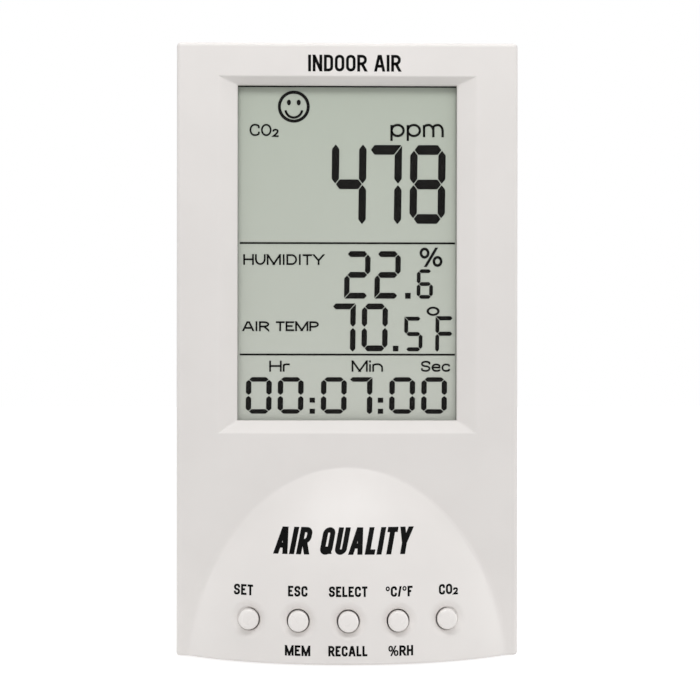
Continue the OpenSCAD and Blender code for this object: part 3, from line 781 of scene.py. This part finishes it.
# Each letter has the width of its box, as a share of the height, and its pen strokes. A stroke is
# a row of x,z points from 0 to 1; ~ rounds the corner there, and @ closes the stroke.
LETTERS = {
    "A": (0.62, "0,0 .4,1 .6,1 1,0; .2,.28 .8,.28"),
    "C": (0.54, "1,.66 1,1~ 0,1~ 0,0~ 1,0~ 1,.34"),
    "D": (0.54, "0,0 0,1 1,1~ 1,0~ @"),
    "E": (0.47, "1,1 0,1 0,0 1,0; 0,.52 .9,.52"),
    "F": (0.45, "1,1 0,1 0,0; 0,.5 .88,.5"),
    "H": (0.54, "0,0 0,1; 1,0 1,1; 0,.52 1,.52"),
    "I": (0.17, ".5,0 .5,1"),
    "L": (0.45, "0,1 0,0 1,0"),
    "M": (0.72, "0,0 0,1; 1,0 1,1; .02,1 .5,0; .98,1 .5,0"),
    "N": (0.56, "0,0 0,1; 1,0 1,1; .04,1 .96,0"),
    "O": (0.56, "0,0~ 0,1~ 1,1~ 1,0~ @"),
    "P": (0.52, "0,0 0,1 1,1~ 1,.44~ 0,.44"),
    "Q": (0.56, "0,0~ 0,1~ 1,1~ 1,0~ @; .6,.25 1,-.08"),
    "R": (0.56, "0,0 0,1 1,1~ 1,.46~ 0,.46; .5,.46 1,0"),
    "S": (0.53, "1,.7 1,1~ 0,1~ 0,.52~ 1,.5~ 1,0~ 0,0~ 0,.3"),
    "T": (0.48, "0,1 1,1; .5,1 .5,0"),
    "U": (0.54, "0,1 0,0~ 1,0~ 1,1"),
    "Y": (0.56, "0,1 .5,.4; 1,1 .5,.4; .5,.5 .5,0"),
    "2": (0.5, "0,.7 0,1~ 1,1~ 1,.55~ 0,0 1,0"),
    "%": (0.85, "0,.5~ 0,1~ .36,1~ .36,.5~ @; .64,0~ .64,.5~ 1,.5~ 1,0~ @; .74,1 .26,0"),
    "/": (0.32, "0,0 1,1"),
    "*": (0.36, "0,.62~ 0,1~ 1,1~ 1,.62~ @"),
    "c": (0.48, "1,.48 1,.7~ 0,.7~ 0,0~ 1,0~ 1,.22"),
    "e": (0.5, "0,.37 1,.37 1,.7~ 0,.7~ 0,0~ 1,0~ 1,.16"),
    "i": (0.1, ".5,0 .5,.7; .5,.88 .5,1"),
    "m": (0.9, "0,0 0,.7; 0,.4 0,.7~ .5,.7~ .5,0; .5,.4 .5,.7~ 1,.7~ 1,0"),
    "n": (0.48, "0,0 0,.7; 0,.4 0,.7~ 1,.7~ 1,0"),
    "p": (0.62, "0,-.32 0,.7; 0,0~ 0,.7~ 1,.7~ 1,0~ @"),
    "r": (0.3, "0,0 0,.7; 0,.4 0,.7~ 1,.7"),
    " ": (0.25, ""),
}
LETTER_GAP = 0.1  # between two letters, as a share of their height
FINE_LETTERS = {"%": 0.7, "*": 0.62}  # signs that are drawn with a finer pen
MITRE_LIMIT = 0.4  # least cosine that lengthens a corner, so that sharp ones stay short


def read_strokes(letter):
    """Strokes of a letter, each with its points (x, z, rounded) and whether it is closed."""
    result = []
    for stroke in filter(None, LETTERS[letter][1].split(";")):
        points = []
        for word in stroke.replace("@", "").split():
            x, z = word.rstrip("~").split(",")
            points.append((float(x), float(z), word.endswith("~")))
        result.append((points, "@" in stroke))
    return result


def pen_path(points, closed, box, pen, cell, wide):
    """Centre line of a stroke in its box, with lengthened ends, rounded corners and short steps.

    Wide letters have oval bowls, and the others have straight sides between round corners.
    """
    left, right, bottom, top = box
    half = pen / 2
    line = [
        Vector((mix(left + half, right - half, x), mix(bottom + half, top - half, z)))
        for x, z, _ in points
    ]
    if not closed:
        for end, before in ((0, 1), (-1, -2)):
            run = line[end] - line[before]
            axis = 1 if abs(run.y) > abs(run.x) else 0
            if points[end][axis] in (0, 1):
                line[end] = line[end] + run * half / abs(run[axis])
    path = []
    count = len(line)
    for i, (_, _, rounded) in enumerate(points):
        before, here, after = line[i - 1], line[i], line[(i + 1) % count]
        if not rounded:
            path.append(here)
            continue
        to_before, to_after = (before - here) / 2, (after - here) / 2
        if not wide:
            reach = min(to_before.length, to_after.length)
            to_before, to_after = to_before.normalized() * reach, to_after.normalized() * reach
        for angle in stops(0, math.pi / 2, LETTER_STEPS):
            back, on = 1 - math.sin(angle), 1 - math.cos(angle)
            path.append(here + to_before * back + to_after * on)
    fine = [path[0]]
    for here in path[1:] + ([path[0]] if closed else []):
        length = (here - fine[-1]).length
        if length > 1e-4:
            steps = max(math.ceil(length / cell), 1)
            start = fine[-1]
            fine += [start.lerp(here, step / steps) for step in range(1, steps + 1)]
    return fine[:-1] if closed else fine


def pen_edges(path, closed, pen):
    """Both edges of a stroke, with mitred corners and with ends that are cut level or upright."""
    half = pen / 2
    last = len(path) - 1
    edges = []
    for i, here in enumerate(path):
        if closed or 0 < i < last:
            a = (here - path[i - 1]).normalized()
            b = (path[(i + 1) % len(path)] - here).normalized()
            along = (a + b).normalized()
            side = Vector((-along.y, along.x)) * half / max(along.dot(a), MITRE_LIMIT)
        else:
            run = (path[1] - here if i == 0 else here - path[i - 1]).normalized()
            if abs(run.y) > abs(run.x):
                side = Vector((-half / run.y, 0))
            else:
                side = Vector((0, half / run.x))
        edges.append((here + side, here - side))
    return edges


def add_stroke(solid, edges, closed, place):
    """Solid stroke; place puts (x, z, depth) in space, with depth 0 in front and 1 behind."""
    rings = []
    for a, b in edges:
        ring = [place(a.x, a.y, 0), place(b.x, b.y, 0), place(b.x, b.y, 1), place(a.x, a.y, 1)]
        rings.append([solid.point(*p) for p in ring])
    for a, b in zip(rings, rings[1:] + rings[:1] if closed else rings[1:]):
        solid.strip(a, b)
    if not closed:
        solid.faces += [tuple(rings[0]), tuple(rings[-1])]


def letters(name, text, box, pen, place, material, slant=0.0, cell=100.0, wide=False):
    """Thin solid letters that fill box (left, right, bottom, top), drawn in steps up to cell."""
    left, right, bottom, top = box
    height = top - bottom
    gap = LETTER_GAP * height
    lean = slant * height
    shares = sum(LETTERS[letter][0] for letter in text)
    scale = (right - left - lean - gap * (len(text) - 1)) / shares
    solid = Solid(name)
    x = left
    for letter in text:
        width = LETTERS[letter][0] * scale
        for points, closed in read_strokes(letter):
            width_of_pen = pen * FINE_LETTERS.get(letter, 1)
            path = pen_path(points, closed, (x, x + width, bottom, top), width_of_pen, cell, wide)
            edges = [
                [Vector((p.x + (p.y - bottom) * slant, p.y)) for p in pair]
                for pair in pen_edges(path, closed, width_of_pen)
            ]
            add_stroke(solid, edges, closed, place)
        x += width + gap
    return solid.build("case", material)


def on_display(x, z, depth):
    return x, mix(*LCD_INK_Y, depth), z


def on_face(x, z, depth):
    return x, front_y(x, z) + mix(-INK_PROUD, INK_SINK, depth), z


def display_words(material):
    """Words and units on the display."""
    words = [
        ("gas_sign", "CO", (-31.9, -24.7, 169.3, 173.3), DISPLAY_PEN),
        ("gas_sign_small", "2", (-24.4, -22.4, 169.0, 171.7), DISPLAY_PEN),
        ("gas_unit", "ppm", (14.1, 31.6, 169.1, 175.0), 0.78),
        ("humidity_word", "HUMIDITY", (-33.9, -7.5, 127.25, 130.75), DISPLAY_PEN),
        ("humidity_unit", "%", (23.7, 31.2, 126.7, 133.0), 1.25),
        ("temperature_word", "AIR TEMP", (-34.1, -9.2, 105.65, 108.85), DISPLAY_PEN),
        ("hours_word", "Hr", (-25.4, -18.7, 92.4, 96.0), DISPLAY_PEN),
        ("minutes_word", "Min", (1.5, 11.8, 92.4, 96.1), DISPLAY_PEN),
        ("seconds_word", "Sec", (24.2, 33.7, 92.4, 96.0), DISPLAY_PEN),
    ]
    for name, text, box, pen in words:
        letters(name, text, box, pen, on_display, material, wide=True)


def printed_words(material):
    """Plain printing on the casing: what it measures, and what each button does."""
    words = [
        ("top_print", "INDOOR AIR", (-12.8, 17.2, 189.7, 195.1), 0.92, 0),
        ("title_print", "AIR QUALITY", (-23.7, 21.0, 34.6, 43.0), 1.6, 0.2),
        ("set_print", "SET", (-36.35, -30.15, 21.45, 24.75), KEY_PEN, 0),
        ("esc_print", "ESC", (-19.0, -12.85, 21.65, 24.9), KEY_PEN, 0),
        ("select_print", "SELECT", (-6.1, 6.05, 21.7, 24.9), KEY_PEN, 0),
        ("units_print", "*C/*F", (11.85, 20.45, 21.6, 24.8), KEY_PEN, 0),
        ("gas_print", "CO", (29.0, 33.4, 21.65, 24.85), KEY_PEN, 0),
        ("gas_print_small", "2", (33.7, 35.3, 21.4, 23.6), KEY_PEN * 0.85, 0),
        ("memory_print", "MEM", (-19.95, -11.95, 3.4, 6.65), KEY_PEN, 0),
        ("recall_print", "RECALL", (-6.3, 5.95, 3.45, 6.65), KEY_PEN, 0),
        ("humidity_print", "%RH", (12.6, 20.45, 3.35, 6.55), KEY_PEN, 0),
    ]
    for name, text, box, pen, slant in words:
        letters(name, text, box, pen, on_face, material, slant, PRINT_CELL)


# ---- materials -------------------------------------------------------------------------

CASE_WHITE = (0.78, 0.75, 0.728)
CAP_LIGHTER = 1.08  # the caps are a little lighter than the casing
GLASS_LOW = (0.605, 0.615, 0.565)
GLASS_HIGH = (0.495, 0.53, 0.462)
GLASS_GRAIN = (0.35, 0.38, 0.33)
SEGMENT_DARK = (0.005, 0.0045, 0.004)
SEGMENT_HAZY = (0.009, 0.008, 0.0075)
INK_THICK = (0.002, 0.002, 0.002)
INK_THIN = (0.01, 0.01, 0.01)


class Nodes:
    """Short calls for building a node tree."""

    def __init__(self, tree):
        self.nodes = tree.nodes
        self.links = tree.links

    def put(self, value, socket):
        """Links the socket to an output, or gives it a plain value."""
        if isinstance(value, bpy.types.NodeSocket):
            self.links.new(value, socket)
        else:
            socket.default_value = value

    def set(self, node, **inputs):
        for name, value in inputs.items():
            self.put(value, node.inputs[name.replace("_", " ")])
        return node

    def add(self, kind, *first, **inputs):
        """New node, with values for its first inputs in order and for others by name."""
        node = self.nodes.new(kind)
        for value, socket in zip(first, node.inputs):
            self.put(value, socket)
        return self.set(node, **inputs)

    def maths(self, kind, operation, *values):
        node = self.add(kind, *values)
        node.operation = operation
        return node.outputs["Value"]


class Finish(Nodes):
    """Node tree of one material, with short calls for what the finishes share."""

    def __init__(self, name):
        self.material = bpy.data.materials.new(name)
        self.material.use_nodes = True
        super().__init__(self.material.node_tree)
        self.shader = self.nodes["Principled BSDF"]
        self.place = self.add("ShaderNodeTexCoord").outputs["Object"]

    def noise(self, scale, detail=2, stretch=(1, 1, 1)):
        """Noise with this many features per metre."""
        mapped = self.add("ShaderNodeMapping", Vector=self.place, Scale=stretch)
        node = self.add("ShaderNodeTexNoise", Vector=mapped.outputs[0], Scale=scale, Detail=detail)
        return node.outputs[0]

    def between(self, factor, low, high, from_low=0.35, from_high=0.65):
        """Maps factor to low..high. Noise lies mostly between 0.35 and 0.65."""
        return self.add("ShaderNodeMapRange", factor, from_low, from_high, low, high).outputs[0]

    def blend(self, factor, a, b):
        node = self.add("ShaderNodeMix")
        node.data_type = "RGBA"
        self.put(factor, node.inputs[0])
        for value, socket in ((a, node.inputs[6]), (b, node.inputs[7])):
            if not isinstance(value, bpy.types.NodeSocket):
                value = (*value[:3], 1)
            self.put(value, socket)
        return node.outputs[2]

    def bump(self, height, distance, normal=None):
        """Normal of a surface that height raises by up to distance, in millimetres."""
        node = self.add("ShaderNodeBump", Height=height, Distance=distance * MM, Strength=1.0)
        if normal:
            self.put(normal, node.inputs["Normal"])
        return node.outputs[0]

    def rough(self, height, distance, normal=None):
        """Gives the shader such a surface."""
        self.set(self.shader, Normal=self.bump(height, distance, normal))


def scaled(colour, factor):
    return tuple(min(c * factor, 1) for c in colour[:3])


def plastic(name, colour, roughness=0.35, grain=0.004, grain_size=0.35, edge=0.15):
    """Moulded plastic: a fine grain, patches of handling, and a painted highlight that makes its
    edges a little lighter.
    """
    f = Finish(name)
    soft = f.add("ShaderNodeBevel", Radius=edge * MM)
    soft.samples = 4
    normal = f.add("ShaderNodeNewGeometry").outputs["Normal"]
    turn = f.maths("ShaderNodeVectorMath", "DOT_PRODUCT", soft.outputs[0], normal)
    # Rounded edges are painted a little lighter: a painted highlight, not wear.
    painted_edge_highlight = f.between(turn, 1, 0, 0.75, 0.99)
    patches = f.noise(45, 4)
    flow = f.blend(f.between(patches, 0, 1), scaled(colour, 0.985), scaled(colour, 1.012))
    f.set(f.shader, Base_Color=f.blend(painted_edge_highlight, flow, scaled(colour, 1.03)))
    f.set(f.shader, Roughness=f.between(f.noise(120, 5), roughness - 0.04, roughness + 0.05))
    f.rough(f.noise(1 / (grain_size * MM)), grain, soft.outputs[0])
    return f.material


def metal(name, colour, roughness=0.3, stretch=(1, 1, 12)):
    """Metal with fine lines along one direction and slight tarnish."""
    f = Finish(name)
    lines = f.noise(2500, 3, stretch)
    tarnish = f.between(f.noise(300, 4), 0, 1)
    f.set(f.shader, Metallic=1.0, Base_Color=f.blend(tarnish, scaled(colour, 0.86), colour))
    f.set(f.shader, Roughness=f.between(lines, roughness - 0.07, roughness + 0.12))
    f.rough(lines, 0.004)
    return f.material


def circuit_board(name, colour):
    """Solder mask over copper tracks."""
    f = Finish(name)
    tracks = f.add("ShaderNodeTexBrick", Vector=f.place, Scale=220.0).outputs["Fac"]
    f.set(f.shader, Base_Color=f.blend(tracks, colour, scaled(colour, 1.7)), Roughness=0.35)
    f.rough(tracks, 0.03)
    return f.material


def rubber(name, colour, roughness=0.75):
    """Rubber with a dusty, slightly pitted skin."""
    f = Finish(name)
    dust = f.between(f.noise(400, 5), 0, 1, 0.45, 0.75)
    f.set(f.shader, Base_Color=f.blend(dust, colour, scaled([c + 0.03 for c in colour], 1.3)))
    f.set(f.shader, Roughness=f.between(f.noise(900, 3), roughness - 0.1, roughness + 0.15))
    f.rough(f.noise(3000, 2), 0.012)
    return f.material


def display_glass(name):
    """Reflective liquid crystal glass, a little darker and greener towards its top."""
    f = Finish(name)
    low, high = corners("lcd_panel")
    split = f.add("ShaderNodeSeparateXYZ", f.place)
    height = f.between(split.outputs["Z"], 0, 1, low.z * MM, high.z * MM)
    ramp = f.add("ShaderNodeValToRGB", height)
    for element, colour in zip(ramp.color_ramp.elements, (GLASS_LOW, GLASS_HIGH)):
        element.color = (*colour, 1)
    grain = f.between(f.noise(4000, 2), 0.0, 0.06)
    f.set(f.shader, Base_Color=f.blend(grain, ramp.outputs[0], GLASS_GRAIN))
    f.set(f.shader, Roughness=f.between(f.noise(60, 3), 0.4, 0.5))
    return f.material


def display_dark(name):
    """Dark segments of the display, with a hint of the glass's haze."""
    f = Finish(name)
    haze = f.between(f.noise(500, 3), 0, 1)
    f.set(f.shader, Base_Color=f.blend(haze, SEGMENT_DARK, SEGMENT_HAZY))
    f.set(f.shader, Roughness=f.between(haze, 0.45, 0.6, 0, 1), Specular_IOR_Level=0.08)
    return f.material


def printing_ink(name):
    """Pad-printed black ink, thin at a few spots and slightly rough."""
    f = Finish(name)
    thin = f.between(f.noise(2600, 4), 0, 0.5, 0.62, 0.8)
    f.set(f.shader, Base_Color=f.blend(thin, INK_THICK, INK_THIN))
    f.set(f.shader, Roughness=f.between(f.noise(1500, 3), 0.4, 0.6), Specular_IOR_Level=0.08)
    f.rough(f.noise(5000, 2), 0.003)
    return f.material


def clear_window(name):
    """Clear acrylic: see-through, with a faint reflection and hairline scratches."""
    f = Finish(name)
    clear = f.add("ShaderNodeBsdfTransparent", Color=(0.985, 0.99, 0.985, 1))
    scratches = f.noise(900, 2, (1, 1, 30))
    shine = f.add("ShaderNodeBsdfGlossy", Roughness=f.between(scratches, 0.03, 0.09))
    edge = f.add("ShaderNodeFresnel", IOR=1.15).outputs[0]
    seen = f.add("ShaderNodeLightPath").outputs["Is Camera Ray"]
    shown = f.maths("ShaderNodeMath", "MULTIPLY", edge, seen)
    both = f.add("ShaderNodeMixShader", shown, clear.outputs[0], shine.outputs[0])
    f.set(f.nodes["Material Output"], Surface=both.outputs[0])
    return f.material


def label_film(name, colour):
    """Blank satin film."""
    f = Finish(name)
    lines = f.noise(1200, 3, (20, 1, 1))
    sheen = f.blend(lines, scaled(colour, 0.9), scaled(colour, 1.1))
    f.set(f.shader, Metallic=0.4, Base_Color=sheen, Roughness=f.between(lines, 0.35, 0.5))
    f.rough(lines, 0.002)
    return f.material


def membrane(name, colour):
    """Porous white filter."""
    f = Finish(name)
    pores = f.noise(2500, 4)
    f.set(f.shader, Base_Color=f.blend(pores, scaled(colour, 0.8), colour), Roughness=0.9)
    f.rough(pores, 0.05)
    return f.material


def finishes(record):
    """One material for each material slot of the record."""
    made = {}
    for entry in record["materials"]:
        slot, colour = entry["slot"], entry["base_color"]
        if slot == "casing_white":
            made[slot] = plastic(slot, CASE_WHITE)
        elif slot == "button_white":
            made[slot] = plastic(slot, scaled(CASE_WHITE, CAP_LIGHTER), 0.28, 0.002)
        elif slot == "clear_window":
            made[slot] = clear_window(slot)
        elif slot == "lcd_glass":
            made[slot] = display_glass(slot)
        elif slot.startswith("board_"):
            made[slot] = circuit_board(slot, colour)
        elif slot == "label_silver":
            made[slot] = label_film(slot, colour)
        elif slot == "filter_white":
            made[slot] = membrane(slot, colour)
        elif entry["class"] in ("brushed_steel", "brass", "aluminium"):
            made[slot] = metal(slot, colour)
        elif entry["class"] == "rubber":
            made[slot] = rubber(slot, colour)
        else:
            made[slot] = plastic(slot, colour, 0.45, 0.01)
    return made


def dress_nodes(materials):
    """Gives every CAD node the finish of its material slot."""
    for part in frame["record"]["subparts"]:
        node = frame["nodes"][part["node"]]
        node.data.materials.clear()
        node.data.materials.append(materials[part["material_slot"]])


# ---- room, light and camera ------------------------------------------------------------

FLOOR_SIZE = 6
FLOOR_GREY = 0.5
FLOOR_GLOW = (0.44, 0.1)  # the floor is a light table, brightest under the casing
FLOOR_GLOW_REACH = (0.1, 0.45)  # metres from the middle
FLOOR_GLOW_SEEN = 0.7  # lifts the floor to plain white for the camera alone
SKY_LEVEL = 0.488
SKY_SLOPE = (0.08, 0, 0.4)  # how much brighter the sky is to the right and overhead
# Soft lights: name, place and target in metres, width, height, and power in watts. The lights at
# the sides stand just behind the face, so they graze the dome and miss the recesses.
LIGHTS = [
    ("key_light", (0.0, -0.25, 0.37), (0, 0, 0.17), 0.3, 0.1, 0.45),
    ("overhead_light", (0.0, 0.0, 0.9), (0, 0, 0.1), 0.5, 0.5, 1.1),
    ("left_light", (-0.45, 0.0, 0.1), (0, 0, 0.1), 0.1, 0.3, 0.22),
    ("right_light", (0.45, 0.0, 0.1), (0, 0, 0.1), 0.1, 0.3, 0.22),
]
LENS_MM = 109.6
SENSOR_MM = 36
CAMERA_PLACE = (-13.6, -693.8, 99.5)
CAMERA_ROLL = math.radians(-0.06)
CAMERA_TURN = math.radians(-1.2)


def room():
    """Pale, faintly glowing floor under a soft sky. The camera sees both as plain white."""
    bpy.ops.mesh.primitive_plane_add(size=FLOOR_SIZE, location=(0, 0, 0))
    floor = bpy.context.object
    floor.name = "floor"
    f = Finish("floor")
    f.set(f.shader, Base_Color=(FLOOR_GREY, FLOOR_GREY, FLOOR_GREY, 1), Roughness=0.8)
    distance = f.maths("ShaderNodeVectorMath", "LENGTH", f.place)
    fading = f.between(distance, *FLOOR_GLOW, *FLOOR_GLOW_REACH)
    seen = f.add("ShaderNodeLightPath").outputs["Is Camera Ray"]
    glow = f.between(seen, fading, FLOOR_GLOW_SEEN, 0, 1)
    f.set(f.shader, Emission_Color=(1, 1, 1, 1), Emission_Strength=glow)
    floor.data.materials.append(f.material)

    world = bpy.data.worlds.new("studio")
    bpy.context.scene.world = world
    world.use_nodes = True
    sky = Nodes(world.node_tree)
    direction = sky.add("ShaderNodeTexCoord").outputs["Generated"]
    slope = sky.maths("ShaderNodeVectorMath", "DOT_PRODUCT", direction, SKY_SLOPE)
    level = sky.maths("ShaderNodeMath", "ADD", slope, SKY_LEVEL)
    white = (1, 1, 1, 1)
    soft = sky.set(sky.nodes["Background"], Color=white, Strength=level)
    plain = sky.add("ShaderNodeBackground", Color=white)
    seen = sky.add("ShaderNodeLightPath").outputs["Is Camera Ray"]
    both = sky.add("ShaderNodeMixShader", seen, soft.outputs[0], plain.outputs[0])
    sky.set(sky.nodes["World Output"], Surface=both.outputs[0])


def softbox(name, place, target, width, height, power):
    """Rectangular light at place that faces target."""
    light = bpy.data.lights.new(name, "AREA")
    light.shape = "RECTANGLE"
    light.size, light.size_y = width, height
    light.energy = power
    lamp = bpy.data.objects.new(name, light)
    lamp.location = place
    lamp.rotation_euler = (Vector(target) - Vector(place)).to_track_quat("-Z", "Y").to_euler()
    bpy.context.scene.collection.objects.link(lamp)


def camera():
    """View from in front, level with the middle of the casing and a little left of it."""
    lens = bpy.data.cameras.new("camera")
    lens.lens = LENS_MM
    lens.sensor_width = SENSOR_MM
    lens.clip_start = 0.01
    view = bpy.data.objects.new("camera", lens)
    view.location = Vector(CAMERA_PLACE) * MM
    view.rotation_euler = (math.pi / 2, CAMERA_ROLL, CAMERA_TURN)
    bpy.context.scene.collection.objects.link(view)
    bpy.context.scene.camera = view


# ---- scene -----------------------------------------------------------------------------

materials = finishes(frame["record"])
dress_nodes(materials)
front_shell(materials["casing_white"])
for button_name in BUTTONS:
    button_cap(button_name, materials["button_white"])
dark = display_dark("display_dark")
display_ink(dark)
# dark sheet behind the lens: painted shadow of the opening's lip
display_shade_line(dark)
display_words(dark)
printed_words(printing_ink("printing_ink"))

room()
for light_settings in LIGHTS:
    softbox(*light_settings)
camera()
bpy.context.scene.view_settings.view_transform = "Standard"
